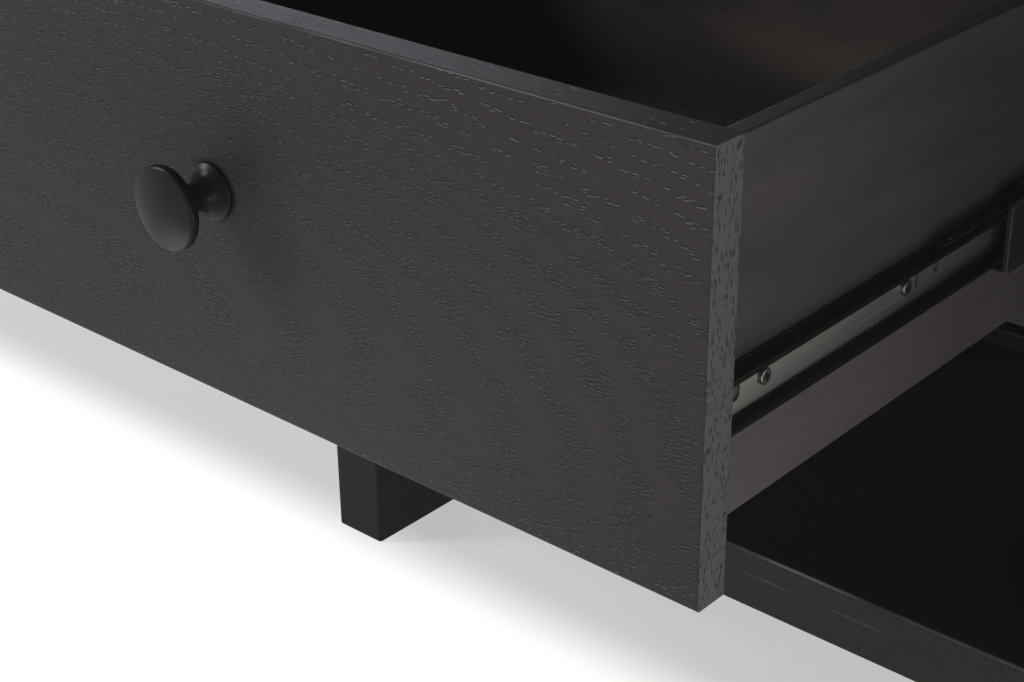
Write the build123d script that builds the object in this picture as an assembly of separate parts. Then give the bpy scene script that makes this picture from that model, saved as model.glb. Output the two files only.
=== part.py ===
from build123d import *
import os

# Low console table with two drawers over an open shelf, on block feet.
# Millimetres, +Z up, front towards -Y, origin on the floor under the middle of the carcass.

# Carcass
carcass_width = 1025.0
panel_thickness = 18.0
divider_thickness = 18.0
divider_setback = 16.0
foot_height = 83.0
base_rail_height = 22.0
base_rail_thickness = 18.0
shelf_thickness = 15.0
shelf_edge_round = 2.5
shelf_bay_height = 188.0
deck_thickness = 12.0
drawer_bay_height = 173.5
back_thickness = 6.0
back_inset = 2.5
panel_edge_round = 1.0
stop_strip_depth = 12.0
stop_strip_height = 12.0
stop_strip_setback = 320.0

# Table top
top_thickness = 25.0
top_side_overhang = 8.0
top_front_overhang = 6.0
top_edge_round = 2.0

# Feet
foot_width = 40.0
foot_depth = 80.0
foot_side_inset = 0.5
foot_corner_round = 2.5
foot_bottom_round = 1.0
glide_diameter = 24.0
glide_thickness = 3.5
glide_proud = 0.6
block_width = 45.0
block_depth = 62.0
foot_bolt_diameter = 8.0
foot_bolt_length = 62.0
foot_bolt_in_block = 19.0

# Drawer slides, 45 mm ball bearing type
slide_length = 350.0
slide_thickness = 12.75
slide_front_inset = 2.0
slide_rear_space = 18.0
slide_rise = 53.7
rail_gauge = 1.2
outer_rail_height = 45.0
outer_rail_depth = 12.0
outer_rail_lip = 3.0
middle_rail_height = 34.6
middle_rail_short = 6.0
middle_rail_depth = 8.8
middle_web_gap = 1.0
rail_end_inset = 4.0
rail_end_length = 18.0
rail_end_wall = 2.4
rail_end_corner_round = 3.0
rail_end_edge_round = 0.7
rail_end_side_room = 0.3
rail_end_groove = 1.6
rail_end_groove_depth = 1.2
rail_end_groove_count = 4
inner_rail_height = 24.6
inner_rail_depth = 8.6
inner_rail_lip = 2.4
rail_bend_round = 0.9
inner_ball_diameter = 3.2
outer_ball_diameter = 3.4
ball_hole_clearance = 0.2
cage_thickness = 0.8
cage_width = 5.0
inner_cage_length = 150.0
outer_cage_length = 120.0
inner_cage_start = 54.0
outer_cage_start = 128.0
lower_strip_lag = 52.0
balls_per_strip = 8
rail_screw_first = 45.0
rail_screw_pitch = 101.5
rail_screw_count = 3
rail_slot_height = 8.0
front_slot_width = 5.5
front_slot_lead = 17.5
rear_slot_width = 2.0
rear_slot_lag = 9.6
slot_end_flat = 0.4
rail_hole_diameter = 4.0
rail_hole_lag = 25.0

# Drawer travel: how far the left drawer stands open, and how the slide parts share the travel
shown_opening = 273.0
middle_share = 0.23
inner_cage_share = (1.0 + middle_share) / 2
outer_cage_share = middle_share / 2

# Drawers
front_thickness = 18.0
front_gap = 3.0
front_top_gap = 3.0
front_end_reveal = 1.0
front_deck_reveal = 2.5
front_face_round = 1.0
front_back_round = 3.0
bumper_thickness = 0.8
bumper_room = 0.2
bumper_diameter = 6.0
bumper_inset = 30.0
box_deck_clearance = 2.5
box_top_drop = 13.5
box_side_thickness = 9.0
box_end_thickness = 12.0
box_rear_margin = 14.0
box_rim_round = 1.2
dado_depth = 4.0
box_bottom_thickness = 5.0
box_bottom_rise = 10.0
groove_clearance = 0.1

# Knob
knob_diameter = 37.0
knob_projection = 28.5
knob_dome = 2.4
knob_rim = 4.0
knob_under_diameter = 26.0
knob_under_rise = 1.2
knob_waist_diameter = 12.0
knob_base_diameter = 26.0
knob_base_thickness = 2.0
knob_drop = 82.2
knob_rim_round = 0.8

# Fasteners
dowel_diameter = 6.0
dowel_length = 24.0
dowel_clearance = 0.05
dowel_spread = 200.0
deck_dowel_shift = 30.0
deck_dowel_in_divider = 8.1
divider_dowel_spread = 120.0
screw_clearance = 0.05
small_screw_diameter = 3.5
small_screw_head = 7.0
pan_head_height = 2.0
pan_head_round = 0.9
flat_head_height = 1.8
rail_screw_length = 8.5
outer_rail_screw_length = 9.5
back_screw_length = 22.0
front_screw_length = 24.0
front_screw_edge = 60.0
front_screw_level = 35.0
knob_screw_diameter = 4.0
knob_screw_head = 8.0
knob_screw_grip = 9.0
recess_length = 3.6
recess_width = 0.9
recess_depth = 0.9
cam_diameter = 15.0
cam_depth = 12.5
cam_level = 24.0
cam_bolt_diameter = 6.0
cam_bolt_in_top = 12.0
cam_bolt_reach = 2.5

# Levels, from the floor up
base_z = foot_height
shelf_z = base_z + base_rail_height
shelf_top_z = shelf_z + shelf_thickness
deck_z = shelf_top_z + shelf_bay_height
deck_top_z = deck_z + deck_thickness
top_z = deck_top_z + drawer_bay_height
front_top_z = top_z - front_top_gap
front_bottom_z = deck_z + front_deck_reveal
box_bottom_z = deck_top_z + box_deck_clearance
box_top_z = front_top_z - box_top_drop
slide_z = box_bottom_z + slide_rise
knob_z = front_top_z - knob_drop

# Depths, from the carcass front plane back
inner_depth = slide_front_inset + slide_length + slide_rear_space
front_y = -(inner_depth + back_thickness) / 2
inner_back_y = front_y + inner_depth
back_y = inner_back_y + back_thickness
bumper_gap = bumper_thickness + bumper_room
closed_back_y = front_y - bumper_gap
closed_face_y = closed_back_y - front_thickness
slide_front_y = front_y + slide_front_inset
slide_back_y = slide_front_y + slide_length

# Widths, from the middle out
half_width = carcass_width / 2
bay_outer_x = half_width - panel_thickness
bay_inner_x = divider_thickness / 2
front_outer_x = half_width - front_end_reveal
front_inner_x = front_gap / 2
box_outer_x = bay_outer_x - slide_thickness
box_inner_x = bay_inner_x + slide_thickness
front_middle_x = (front_outer_x + front_inner_x) / 2


# Basic shapes

def block(x0, x1, y0, y1, z0, z1):
    centre = Pos((x0 + x1) / 2, (y0 + y1) / 2, (z0 + z1) / 2)
    return centre * Box(abs(x1 - x0), abs(y1 - y0), abs(z1 - z0))


def rod(place, direction, diameter, length):
    """A round bar that starts at place and runs along direction."""
    plane = Plane(place, z_dir=direction)
    return plane * Pos(0, 0, length / 2) * Cylinder(diameter / 2, length)


def centred_rod(place, direction, diameter, length):
    return Plane(place, z_dir=direction) * Cylinder(diameter / 2, length)


def edges_at(solid, along, across, end):
    """The edges along one axis that lie furthest out on another, end 0 low and -1 high."""
    return solid.edges().filter_by(along).group_by(across)[end]


def cut_all(solid, tools):
    for tool in tools:
        solid = solid - tool
    return solid


def pan_screw(place, direction, diameter, head, length, head_height):
    """A pan head screw: its head seats at place and its shank runs along direction."""
    seat = Plane(place, z_dir=direction)
    dome = Pos(0, 0, -head_height / 2) * Cylinder(head / 2, head_height)
    dome = fillet(dome.edges().group_by(Axis.Z)[0], pan_head_round)
    shank = Pos(0, 0, length / 2) * Cylinder(diameter / 2, length)
    slots = Pos(0, 0, -head_height) * Box(recess_length, recess_width, 2 * recess_depth)
    slots += Pos(0, 0, -head_height) * Box(recess_width, recess_length, 2 * recess_depth)
    return seat * (dome + shank - slots)


def flat_screw(place, direction, diameter, head, length):
    """A countersunk screw, flush at place, with its shank along direction."""
    seat = Plane(place, z_dir=direction)
    cone = Pos(0, 0, flat_head_height / 2) * Cone(head / 2, diameter / 2, flat_head_height)
    shank = Pos(0, 0, length / 2) * Cylinder(diameter / 2, length)
    slots = Box(recess_length, recess_width, 2 * recess_depth)
    slots += Box(recess_width, recess_length, 2 * recess_depth)
    return seat * (cone + shank - slots)


def flat_screw_hole(place, direction, diameter, head, length):
    seat = Plane(place, z_dir=direction)
    room = 2 * screw_clearance
    cone = Pos(0, 0, flat_head_height / 2)
    cone = cone * Cone((head + room) / 2, (diameter + room) / 2, flat_head_height)
    shank = Pos(0, 0, length / 2) * Cylinder((diameter + room) / 2, length + room)
    return seat * (cone + shank)


def screw_hole(place, direction, diameter, length):
    return rod(place, direction, diameter + 2 * screw_clearance, length + screw_clearance)


# Dowels that locate the carcass boards

def dowel_places():
    places = []
    for side in (-1, 1):
        for y in (-dowel_spread / 2, dowel_spread / 2):
            deck_y = y + deck_dowel_shift * side
            deck_mid = (deck_z + deck_top_z) / 2
            places.append(((side * bay_outer_x, deck_y, deck_mid), (1, 0, 0)))
            inner_end = side * (bay_inner_x + dowel_length / 2 - deck_dowel_in_divider)
            places.append(((inner_end, deck_y, deck_mid), (1, 0, 0)))
            shelf_mid = (shelf_z + shelf_top_z) / 2
            places.append(((side * bay_outer_x, y, shelf_mid), (1, 0, 0)))
        for y in (front_y + base_rail_thickness / 2, inner_back_y - base_rail_thickness / 2):
            rail_mid = base_z + base_rail_height / 2
            places.append(((side * bay_outer_x, y, rail_mid), (1, 0, 0)))
    for y in (-divider_dowel_spread / 2, divider_dowel_spread / 2):
        places.append(((0, y, shelf_top_z), (0, 0, 1)))
        places.append(((0, y, top_z), (0, 0, 1)))
    return places


dowels = [centred_rod(p, d, dowel_diameter, dowel_length) for p, d in dowel_places()]
dowel_room = 2 * dowel_clearance
dowel_holes = [
    centred_rod(p, d, dowel_diameter + dowel_room, dowel_length + dowel_room)
    for p, d in dowel_places()
]


# Cam fittings that pull the top down on the side panels

def cam_places():
    spread = dowel_spread / 2
    return [(side, y) for side in (-1, 1) for y in (-spread, spread)]


cam_z = top_z - cam_level
cam_x = half_width - panel_thickness / 2
cams = []
cam_holes = []
cam_bolts = []
cam_bolt_holes = []
cam_bolt_bottom = cam_z - cam_bolt_reach
cam_bolt_length = top_z + cam_bolt_in_top - cam_bolt_bottom
for side, y in cam_places():
    face = (side * bay_outer_x, y, cam_z)
    outward = (side, 0, 0)
    foot_of_bolt = (side * cam_x, y, cam_bolt_bottom)
    hole = screw_hole(foot_of_bolt, (0, 0, 1), cam_bolt_diameter, cam_bolt_length)
    cam_bolts.append(rod(foot_of_bolt, (0, 0, 1), cam_bolt_diameter, cam_bolt_length))
    cam_bolt_holes.append(hole)
    bolt_pocket = Pos(0, 0, -screw_clearance) * hole
    cams.append(rod(face, outward, cam_diameter, cam_depth) - bolt_pocket)
    cam_holes.append(screw_hole(face, outward, cam_diameter, cam_depth))


# Screws that hold the back panel

def back_screw_places():
    levels = [shelf_top_z + shelf_bay_height / 2, deck_top_z + drawer_bay_height / 2]
    columns = [-cam_x, 0, cam_x]
    places = [(x, z) for x in columns for z in levels]
    shelf_mid = (shelf_z + shelf_top_z) / 2
    places += [(x, shelf_mid) for x in (-half_width / 2, half_width / 2)]
    return places


into = (0, -1, 0)
back_screws = []
back_screw_holes = []
for x, z in back_screw_places():
    spot = (x, back_y, z)
    size = (small_screw_diameter, small_screw_head, back_screw_length)
    back_screws.append(flat_screw(spot, into, *size))
    back_screw_holes.append(flat_screw_hole(spot, into, *size))


# Slides: each rail is a bent strip, drawn as u from the fixed wall and v from its middle

def bent_rail(points, wall_x, sign, start_y, length):
    """A strip of rail_gauge that follows points (u, v), run back along +Y from start_y."""
    path = FilletPolyline(*points, radius=rail_bend_round)
    section = trace(path, line_width=rail_gauge)
    section_plane = Plane((wall_x, start_y, slide_z), x_dir=(sign, 0, 0), z_dir=(0, sign, 0))
    placed = section_plane * section
    return extrude(placed, amount=length, dir=(0, 1, 0))


half_gauge = rail_gauge / 2
middle_web_u = rail_gauge + middle_web_gap
inner_web_u = slide_thickness - rail_gauge


def outer_rail(wall_x, sign):
    v = outer_rail_height / 2 - half_gauge
    tip_u = outer_rail_depth - half_gauge
    tip_v = v - outer_rail_lip
    points = [(tip_u, tip_v), (tip_u, v), (half_gauge, v), (half_gauge, -v), (tip_u, -v), (tip_u, -tip_v)]
    rail = bent_rail(points, wall_x, sign, slide_front_y, slide_length)
    return cut_all(rail, outer_screw_holes(wall_x, sign))


def middle_rail(wall_x, sign):
    v = middle_rail_height / 2 - half_gauge
    web_u = middle_web_u + half_gauge
    tip_u = middle_web_u + middle_rail_depth
    points = [(tip_u, v), (web_u, v), (web_u, -v), (tip_u, -v)]
    start = slide_front_y + rail_end_inset + rail_end_length
    return bent_rail(points, wall_x, sign, start, slide_back_y - middle_rail_short - start)


def rail_end_piece(wall_x, sign):
    """The moulded end of a middle rail: a grooved web between two flanges, ahead of the steel."""
    start = slide_front_y + rail_end_inset
    stop = start + rail_end_length
    low_u = rail_gauge + rail_end_side_room
    high_u = low_u + rail_end_wall
    tip_u = middle_web_u + middle_rail_depth
    half_height = middle_rail_height / 2
    x = [wall_x + sign * u for u in (low_u, high_u, tip_u)]
    piece = block(x[0], x[1], start, stop, slide_z - half_height, slide_z + half_height)
    for level in (-half_height, half_height - rail_gauge):
        piece += block(x[0], x[2], start, stop, slide_z + level, slide_z + level + rail_gauge)
    nose = piece.edges().filter_by(Axis.X).group_by(Axis.Y)[0]
    piece = fillet([nose.sort_by(Axis.Z)[0], nose.sort_by(Axis.Z)[-1]], rail_end_corner_round)
    outer_face = piece.faces().sort_by(Axis.X)[0 if sign > 0 else -1]
    piece = fillet(outer_face.edges(), rail_end_edge_round)
    pitch = rail_end_length / (rail_end_groove_count + 1)
    for i in range(rail_end_groove_count):
        y = start + (i + 1) * pitch
        groove_x = wall_x + sign * (low_u + rail_end_groove_depth)
        groove_half = half_height - 2 * rail_end_wall
        piece -= block(x[0], groove_x, y - rail_end_groove / 2, y + rail_end_groove / 2,
                       slide_z - groove_half, slide_z + groove_half)
    return piece


def web_slot(wall_x, sign, y, width):
    """A round-ended upright slot through the drawer rail's web, for cutting."""
    slot = block(
        wall_x + sign * (inner_web_u - rail_gauge), wall_x + sign * (slide_thickness + rail_gauge),
        y - width / 2, y + width / 2,
        slide_z - rail_slot_height / 2, slide_z + rail_slot_height / 2,
    )
    return fillet(slot.edges().filter_by(Axis.X), (width - slot_end_flat) / 2)


def inner_rail(wall_x, sign):
    v = inner_rail_height / 2 - half_gauge
    web_u = inner_web_u + half_gauge
    tip_u = slide_thickness - inner_rail_depth + half_gauge
    tip_v = v - inner_rail_lip
    points = [(tip_u, tip_v), (tip_u, v), (web_u, v), (web_u, -v), (tip_u, -v), (tip_u, -tip_v)]
    rail = bent_rail(points, wall_x, sign, inner_start_y, slide_length)
    outward = (sign, 0, 0)
    screws = inner_screw_places(wall_x, sign)
    for place in screws:
        rail -= screw_hole(place, outward, small_screw_diameter, rail_screw_length)
    first_y = screws[0][1]
    second_y = first_y + rail_screw_pitch
    rail -= web_slot(wall_x, sign, first_y - front_slot_lead, front_slot_width)
    rail -= web_slot(wall_x, sign, second_y + rear_slot_lag, rear_slot_width)
    hole_place = (screws[0][0], second_y + rail_hole_lag, slide_z)
    return rail - centred_rod(hole_place, outward, rail_hole_diameter, 4 * rail_gauge)


inner_start_y = closed_back_y + slide_front_inset


def inner_screw_places(wall_x, sign):
    web_x = wall_x + sign * inner_web_u
    ys = [closed_back_y + rail_screw_first + i * rail_screw_pitch for i in range(rail_screw_count)]
    return [(web_x, y, slide_z) for y in ys]


def outer_screw_places(wall_x, sign):
    ys = [slide_front_y + rail_screw_first + i * rail_screw_pitch for i in range(rail_screw_count)]
    return [(wall_x + sign * rail_gauge, y, slide_z) for y in ys]


def outer_screw_holes(wall_x, sign):
    size = (small_screw_diameter, small_screw_head, outer_rail_screw_length)
    return [flat_screw_hole(p, (-sign, 0, 0), *size) for p in outer_screw_places(wall_x, sign)]


def outer_screws(wall_x, sign):
    size = (small_screw_diameter, small_screw_head, outer_rail_screw_length)
    return [flat_screw(p, (-sign, 0, 0), *size) for p in outer_screw_places(wall_x, sign)]


def ball_cage(wall_x, sign, u, v, start_y, length, ball):
    """Two thin strips, above and below the slide's middle, each with its row of balls."""
    pieces = []
    x = wall_x + sign * u
    end_y = start_y + length
    for level, strip_y in ((slide_z - v, start_y + lower_strip_lag), (slide_z + v, start_y)):
        pitch = (end_y - strip_y) / balls_per_strip
        strip = block(
            x - cage_width / 2, x + cage_width / 2, strip_y, end_y,
            level - cage_thickness / 2, level + cage_thickness / 2,
        )
        for i in range(balls_per_strip):
            spot = (x, strip_y + (i + 0.5) * pitch, level)
            strip = strip - centred_rod(spot, (0, 0, 1), ball + ball_hole_clearance, 2 * cage_thickness)
            pieces.append(Pos(*spot) * Sphere(ball / 2))
        pieces.append(strip)
    return pieces


def inner_cage(wall_x, sign):
    race_top = middle_rail_height / 2 - rail_gauge
    v = (race_top + inner_rail_height / 2) / 2
    u = middle_web_u + rail_gauge + cage_width / 2 + middle_web_gap
    start = slide_front_y + inner_cage_start
    return ball_cage(wall_x, sign, u, v, start, inner_cage_length, inner_ball_diameter)


def outer_cage(wall_x, sign):
    race_top = outer_rail_height / 2 - rail_gauge
    v = (race_top + middle_rail_height / 2) / 2
    u = outer_rail_depth / 2
    start = slide_front_y + outer_cage_start
    return ball_cage(wall_x, sign, u, v, start, outer_cage_length, outer_ball_diameter)


# Knob: a domed disc on a waist that flares into a thin base

def knob_solid(x):
    """Turned about Y: the base seats on the drawer front's face."""
    r = knob_diameter / 2
    waist = knob_waist_diameter / 2
    base = knob_base_diameter / 2
    rim_top = knob_projection - knob_dome
    disc_back = rim_top - knob_rim
    under = (knob_under_diameter / 2, disc_back - knob_under_rise)
    neck = (waist, (knob_base_thickness + under[1]) / 2)
    with BuildPart() as turned:
        with BuildSketch(Plane.XY):
            with BuildLine():
                Line((0, 0), (base, 0))
                Line((base, 0), (base, knob_base_thickness))
                Spline((base, knob_base_thickness), neck, under, tangents=((-1, 0.12), (1, 0.2)))
                Line(under, (r, disc_back))
                Line((r, disc_back), (r, rim_top))
                TangentArc((0, knob_projection), (r, rim_top), tangent=(1, 0))
                Line((0, knob_projection), (0, 0))
            make_face()
        revolve(axis=Axis.Y)
    body = turned.part
    rim_edges = [e for e in body.edges().filter_by(GeomType.CIRCLE) if abs(e.radius - r) < knob_rim_round / 2]
    body = fillet(rim_edges, knob_rim_round)
    seat = Plane((x, closed_face_y, knob_z), x_dir=(1, 0, 0), z_dir=(0, 0, 1))
    return seat * Rot(0, 0, 180) * body


# Drawers, built closed and then drawn out

def drawer_pieces(side, name):
    x_out = side * box_outer_x
    x_in = side * box_inner_x
    low_x = min(x_out, x_in)
    high_x = max(x_out, x_in)
    front_low_x = min(side * front_outer_x, side * front_inner_x)
    front_high_x = max(side * front_outer_x, side * front_inner_x)
    rear_y = closed_back_y + slide_length + box_rear_margin
    knob_x = side * front_middle_x
    inside_low_x = low_x + box_side_thickness
    inside_high_x = high_x - box_side_thickness
    sub_front_y = closed_back_y + box_end_thickness
    inside_rear_y = rear_y - box_end_thickness
    panel_low_z = box_bottom_z + box_bottom_rise
    panel_high_z = panel_low_z + box_bottom_thickness
    room = groove_clearance

    front = block(front_low_x, front_high_x, closed_face_y, closed_back_y, front_bottom_z, front_top_z)
    front = fillet(front.faces().sort_by(Axis.Y)[-1].edges(), front_back_round)
    front = fillet(front.faces().sort_by(Axis.Y)[0].edges(), front_face_round)

    groove = block(
        inside_low_x - dado_depth - room, inside_high_x + dado_depth + room,
        sub_front_y - dado_depth - room, inside_rear_y + dado_depth + room,
        panel_low_z - room, panel_high_z + room,
    )
    bottom = block(
        inside_low_x - dado_depth, inside_high_x + dado_depth,
        sub_front_y - dado_depth, inside_rear_y + dado_depth, panel_low_z, panel_high_z,
    )

    ends = []
    dados = []
    for end_y in (closed_back_y, inside_rear_y):
        end_low_x = inside_low_x - dado_depth
        end_high_x = inside_high_x + dado_depth
        end = block(end_low_x, end_high_x, end_y, end_y + box_end_thickness, box_bottom_z, box_top_z)
        ends.append(end - groove)
        dados.append(block(
            end_low_x - room, end_high_x + room, end_y - room, end_y + box_end_thickness + room,
            box_bottom_z, box_top_z,
        ))

    walls = []
    wall_faces = ((low_x, inside_low_x, -1), (inside_high_x, high_x, 1))
    for x0, x1, outward in wall_faces:
        wall = block(x0, x1, closed_back_y, rear_y, box_bottom_z, box_top_z)
        wall = fillet(edges_at(wall, Axis.Y, Axis.Z, -1), box_rim_round)
        walls.append(cut_all(wall - groove, dados))

    screw_xs = (inside_low_x + front_screw_edge, inside_high_x - front_screw_edge)
    screw_zs = (panel_high_z + front_screw_level, box_top_z - front_screw_level)
    front_screws = []
    for x in screw_xs:
        for z in screw_zs:
            spot = (x, sub_front_y, z)
            front_screws.append(pan_screw(spot, into, small_screw_diameter, small_screw_head,
                                          front_screw_length, pan_head_height))
            hole = screw_hole(spot, into, small_screw_diameter, front_screw_length)
            front = front - hole
            ends[0] = ends[0] - hole

    spot = (knob_x, sub_front_y, knob_z)
    knob_screw_length = box_end_thickness + front_thickness + knob_screw_grip
    knob_screw = pan_screw(spot, into, knob_screw_diameter, knob_screw_head,
                           knob_screw_length, pan_head_height)
    knob_hole = screw_hole(spot, into, knob_screw_diameter, knob_screw_length)
    front = front - knob_hole
    ends[0] = ends[0] - knob_hole
    knob = knob_solid(knob_x) - knob_hole

    slides = slide_walls(side)
    rail_screws = []
    for i, (wall_x, sign) in enumerate(slides):
        for place in inner_screw_places(wall_x, sign):
            outward = (sign, 0, 0)
            rail_screws.append(pan_screw(place, outward, small_screw_diameter, small_screw_head,
                                         rail_screw_length, pan_head_height))
            hole = screw_hole(place, outward, small_screw_diameter, rail_screw_length)
            walls[i] = walls[i] - hole

    pieces = {
        "front": front,
        "box_front": ends[0],
        "box_back": ends[1],
        "box_left_side": walls[0],
        "box_right_side": walls[1],
        "bottom": bottom,
        "knob": knob,
        "front_screws": front_screws + [knob_screw],
        "left_inner_rail": inner_rail(*slides[0]),
        "right_inner_rail": inner_rail(*slides[1]),
        "inner_rail_screws": rail_screws,
    }
    return {name + "_" + key: value for key, value in pieces.items()}


def slide_walls(side):
    """The fixed wall and inward direction of a drawer's left and right slides."""
    left_wall = min(side * bay_outer_x, side * bay_inner_x)
    right_wall = max(side * bay_outer_x, side * bay_inner_x)
    return ((left_wall, 1), (right_wall, -1))


def drawn_out(shape, distance):
    shift = Pos(0, -distance, 0)
    if isinstance(shape, list):
        return [shift * piece for piece in shape]
    return shift * shape


# Carcass pieces

nodes = {}

top = block(-half_width - top_side_overhang, half_width + top_side_overhang,
            closed_face_y - top_front_overhang, back_y, top_z, top_z + top_thickness)
top = fillet(top.edges(), top_edge_round)
nodes["top_panel"] = cut_all(top, dowel_holes + cam_bolt_holes)

outer_holes = []
for side in (-1, 1):
    for wall_x, sign in slide_walls(side):
        outer_holes += outer_screw_holes(wall_x, sign)

for side, name in ((-1, "left"), (1, "right")):
    panel = block(side * bay_outer_x, side * half_width, front_y, inner_back_y, base_z, top_z)
    panel = fillet(edges_at(panel, Axis.Z, Axis.Y, 0), panel_edge_round)
    holes = dowel_holes + cam_holes + cam_bolt_holes + back_screw_holes + outer_holes
    nodes[name + "_side_panel"] = cut_all(panel, holes)
    deck = block(side * bay_inner_x, side * bay_outer_x, front_y, inner_back_y, deck_z, deck_top_z)
    nodes[name + "_drawer_deck"] = cut_all(deck, dowel_holes)

divider = block(-bay_inner_x, bay_inner_x, front_y, inner_back_y, shelf_top_z, top_z)
divider -= block(-bay_inner_x, bay_inner_x, front_y, front_y + divider_setback, shelf_top_z, deck_z)
divider_edges = edges_at(divider, Axis.Z, Axis.Y, 0) + edges_at(divider, Axis.Z, Axis.Y, 1)
divider = fillet(divider_edges, panel_edge_round)
nodes["centre_divider"] = cut_all(divider, dowel_holes + back_screw_holes + outer_holes)

shelf = block(-bay_outer_x, bay_outer_x, front_y, inner_back_y, shelf_z, shelf_top_z)
front_edges = ShapeList(edges_at(shelf, Axis.X, Axis.Y, 0))
shelf = fillet(front_edges.sort_by(Axis.Z)[-1], shelf_edge_round)
shelf = fillet(edges_at(shelf, Axis.X, Axis.Z, 0).sort_by(Axis.Y)[0], panel_edge_round)
nodes["lower_shelf"] = cut_all(shelf, dowel_holes + back_screw_holes)

for y0, name in ((front_y, "front"), (inner_back_y - base_rail_thickness, "rear")):
    rail = block(-bay_outer_x, bay_outer_x, y0, y0 + base_rail_thickness, base_z, shelf_z)
    rail = fillet(rail.edges().filter_by(Axis.X), panel_edge_round)
    nodes["base_" + name + "_rail"] = cut_all(rail, dowel_holes)

back = block(-half_width + back_inset, half_width - back_inset, inner_back_y, back_y,
             base_z + back_inset, top_z - back_inset)
nodes["back_panel"] = cut_all(back, back_screw_holes)

strips = []
for side in (-1, 1):
    strip_y = front_y + stop_strip_setback
    strip = block(side * bay_inner_x, side * bay_outer_x, strip_y, strip_y + stop_strip_depth,
                  shelf_top_z, shelf_top_z + stop_strip_height)
    strips.append(fillet(edges_at(strip, Axis.X, Axis.Z, -1), panel_edge_round))
nodes["shelf_stop_strips"] = strips


# Feet, with the blocks, bolts and glides that belong to them

foot_blocks = []
foot_bolts = []
glides = []
for y_name, y_side in (("front", -1), ("rear", 1)):
    outer_y = front_y if y_side < 0 else inner_back_y
    for x_name, x_side in (("left", -1), ("right", 1)):
        outer_x = x_side * (half_width - foot_side_inset)
        inner_x = outer_x - x_side * foot_width
        inner_y = outer_y - y_side * foot_depth
        foot = block(outer_x, inner_x, outer_y, inner_y, glide_proud, foot_height)
        foot = fillet(foot.edges().filter_by(Axis.Z), foot_corner_round)
        foot = fillet(foot.faces().sort_by(Axis.Z)[0].edges(), foot_bottom_round)
        block_x = x_side * bay_outer_x
        block_y = outer_y - y_side * base_rail_thickness
        block_inner_x = block_x - x_side * block_width
        corner_block = block(block_x, block_inner_x, block_y, block_y - y_side * block_depth, base_z, shelf_z)
        bolt_x = (block_x + inner_x) / 2
        bolt_y = (block_y + inner_y) / 2
        bolt_top = base_z + foot_bolt_in_block
        bolt_place = (bolt_x, bolt_y, bolt_top - foot_bolt_length)
        hole = screw_hole(bolt_place, (0, 0, 1), foot_bolt_diameter, foot_bolt_length)
        glide_place = ((outer_x + inner_x) / 2, (outer_y + inner_y) / 2, 0)
        glide_seat = rod(glide_place, (0, 0, 1), glide_diameter + 2 * screw_clearance, glide_thickness)
        nodes[y_name + "_" + x_name + "_foot"] = foot - hole - glide_seat
        foot_blocks.append(corner_block - hole)
        foot_bolts.append(rod(bolt_place, (0, 0, 1), foot_bolt_diameter, foot_bolt_length))
        glides.append(rod(glide_place, (0, 0, 1), glide_diameter, glide_thickness))
nodes["foot_blocks"] = foot_blocks
nodes["foot_bolts"] = foot_bolts
nodes["foot_glides"] = glides


# Carcass hardware

nodes["carcass_dowels"] = dowels
nodes["cam_locks"] = cams
nodes["cam_bolts"] = cam_bolts
nodes["back_panel_screws"] = back_screws

bumpers = []
for side in (-1, 1):
    for x in (side * (half_width - panel_thickness / 2), side * (bay_inner_x + front_inner_x) / 2):
        for z in (front_bottom_z + bumper_inset, front_top_z - bumper_inset):
            bumpers.append(rod((x, front_y, z), (0, -1, 0), bumper_diameter, bumper_thickness))
nodes["drawer_bumpers"] = bumpers


# Drawers and slides: the left drawer stands open, the right one is shut

fixed_screws = []
for side, name, opening in ((-1, "left_drawer", shown_opening), (1, "right_drawer", 0.0)):
    for node, shape in drawer_pieces(side, name).items():
        nodes[node] = drawn_out(shape, opening)
    rail_ends = []
    inner_cages = []
    outer_cages = []
    for (wall_x, sign), hand in zip(slide_walls(side), ("left", "right")):
        nodes[name + "_" + hand + "_outer_rail"] = outer_rail(wall_x, sign)
        middle = middle_rail(wall_x, sign)
        nodes[name + "_" + hand + "_middle_rail"] = drawn_out(middle, opening * middle_share)
        rail_ends.append(rail_end_piece(wall_x, sign))
        inner_cages += inner_cage(wall_x, sign)
        outer_cages += outer_cage(wall_x, sign)
        fixed_screws += outer_screws(wall_x, sign)
    nodes[name + "_middle_rail_ends"] = drawn_out(rail_ends, opening * middle_share)
    nodes[name + "_inner_ball_cages"] = drawn_out(inner_cages, opening * inner_cage_share)
    nodes[name + "_outer_ball_cages"] = drawn_out(outer_cages, opening * outer_cage_share)
nodes["outer_rail_screws"] = fixed_screws


# One file for each node

os.makedirs("parts", exist_ok=True)
for node, shape in nodes.items():
    if isinstance(shape, list):
        shape = Compound(children=shape)
    export_step(shape, "parts/" + node + ".step")
print(len(nodes), "nodes written")
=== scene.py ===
# %% [markdown]
# # A low console table in black-stained oak
#
# Two drawers hang over an open shelf, on four short block feet. The left drawer stands open,
# so the telescopic slide on its side shows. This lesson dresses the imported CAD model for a
# studio picture: camera, floor, light, and one careful finish for each material.
# The shapes come from the CAD frame, which is loaded first and never moved. Everything is in
# metres, with Z up, the floor at zero and the drawers opening towards -Y.

# %% Load the frame
import math

import bmesh
import bpy
from mathutils import Matrix, Vector


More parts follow.
